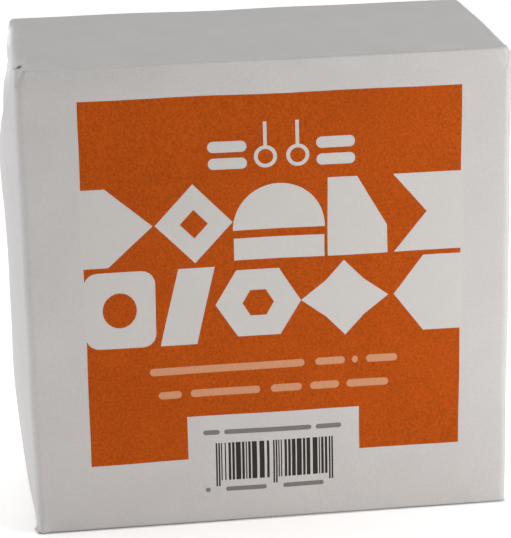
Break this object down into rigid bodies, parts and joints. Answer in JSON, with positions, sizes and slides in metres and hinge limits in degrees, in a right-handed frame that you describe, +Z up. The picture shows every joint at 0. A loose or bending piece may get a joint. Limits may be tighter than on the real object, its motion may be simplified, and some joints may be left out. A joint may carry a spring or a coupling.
{
  "type": "gymnastics chalk block",
  "caption": "Pressed block of gym chalk in a printed paper wrapper: a folded sleeve with a glued back seam and envelope-folded ends that open crease by crease.",
  "frame": {"origin": "middle of the footprint, on the surface that the wrapped block stands on", "axes": "+Z up; -Y out of the printed face; +X to the right as the printed face is read, from the left end to the right end"},
  "size_m": [0.076, 0.0374, 0.076],
  "materials": {
    "pressed_chalk": "matte",
    "printed_paper": "satin",
    "wrapping_paper": "satin",
    "glue": "satin"
  },
  "bodies": {
    "sleeve": {"front_panel": "printed_paper", "bottom_panel": "wrapping_paper"},
    "cake": {"chalk_block": "pressed_chalk"},
    "lid": {"top_panel": "wrapping_paper"},
    "rear": {"back_panel": "wrapping_paper"},
    "lap": {"seam_lap": "wrapping_paper", "seam_glue": "glue"},
    "left_outer": {"left_front_flap": "wrapping_paper", "left_front_gussets": "wrapping_paper", "left_end_glue": "glue"},
    "left_inner": {"left_back_flap": "wrapping_paper", "left_back_gussets": "wrapping_paper"},
    "left_upper_tuck": {"left_top_tuck": "wrapping_paper"},
    "left_lower_tuck": {"left_bottom_tuck": "wrapping_paper"},
    "right_outer": {"right_front_flap": "wrapping_paper", "right_front_gussets": "wrapping_paper", "right_end_glue": "glue"},
    "right_inner": {"right_back_flap": "wrapping_paper", "right_back_gussets": "wrapping_paper"},
    "right_upper_tuck": {"right_top_tuck": "wrapping_paper"},
    "right_lower_tuck": {"right_bottom_tuck": "wrapping_paper"}
  },
  "joints": [
    {"name": "block_shift", "type": "slide", "parent": "sleeve", "child": "cake", "axis": [-1, 0, 0], "range_m": [0, 0.0015]},
    {"name": "lid_fold", "type": "hinge", "parent": "sleeve", "child": "lid", "pos_m": [0, -0.0167, 0.076], "axis": [1, 0, 0], "range_deg": [0, 120]},
    {"name": "back_fold", "type": "hinge", "parent": "lid", "child": "rear", "pos_m": [0, 0.0187, 0.074], "axis": [1, 0, 0], "range_deg": [0, 120]},
    {"name": "lap_fold", "type": "hinge", "parent": "sleeve", "child": "lap", "pos_m": [0, 0.0184, 0.002], "axis": [-1, 0, 0], "range_deg": [0, 90]},
    {"name": "left_end_open", "type": "hinge", "parent": "sleeve", "child": "left_outer", "pos_m": [-0.038, -0.0167, 0.038], "axis": [0, 0, 1], "range_deg": [0, 150]},
    {"name": "left_inner_flap_fold", "type": "hinge", "parent": "rear", "child": "left_inner", "pos_m": [-0.0374, 0.0167, 0.038], "axis": [0, 0, -1], "range_deg": [0, 105]},
    {"name": "left_top_tuck_fold", "type": "hinge", "parent": "lid", "child": "left_upper_tuck", "pos_m": [-0.0368, 0, 0.074], "axis": [0, 1, 0], "range_deg": [0, 87]},
    {"name": "left_bottom_tuck_fold", "type": "hinge", "parent": "sleeve", "child": "left_lower_tuck", "pos_m": [-0.0368, 0, 0.002], "axis": [0, -1, 0], "range_deg": [0, 87]},
    {"name": "right_end_open", "type": "hinge", "parent": "sleeve", "child": "right_outer", "pos_m": [0.038, -0.0167, 0.038], "axis": [0, 0, -1], "range_deg": [0, 150]},
    {"name": "right_inner_flap_fold", "type": "hinge", "parent": "rear", "child": "right_inner", "pos_m": [0.0374, 0.0167, 0.038], "axis": [0, 0, 1], "range_deg": [0, 105]},
    {"name": "right_top_tuck_fold", "type": "hinge", "parent": "lid", "child": "right_upper_tuck", "pos_m": [0.0368, 0, 0.074], "axis": [0, -1, 0], "range_deg": [0, 87]},
    {"name": "right_bottom_tuck_fold", "type": "hinge", "parent": "sleeve", "child": "right_lower_tuck", "pos_m": [0.0368, 0, 0.002], "axis": [0, 1, 0], "range_deg": [0, 87]}
  ],
  "couplings": [
    {"joint": "lap_fold", "follows": "back_fold", "ratio": 0.75},
    {"joint": "left_inner_flap_fold", "follows": "left_end_open", "ratio": 0.7},
    {"joint": "left_top_tuck_fold", "follows": "left_end_open", "ratio": 0.58},
    {"joint": "left_bottom_tuck_fold", "follows": "left_end_open", "ratio": 0.58},
    {"joint": "right_inner_flap_fold", "follows": "right_end_open", "ratio": 0.7},
    {"joint": "right_top_tuck_fold", "follows": "right_end_open", "ratio": 0.58},
    {"joint": "right_bottom_tuck_fold", "follows": "right_end_open", "ratio": 0.58}
  ]
}
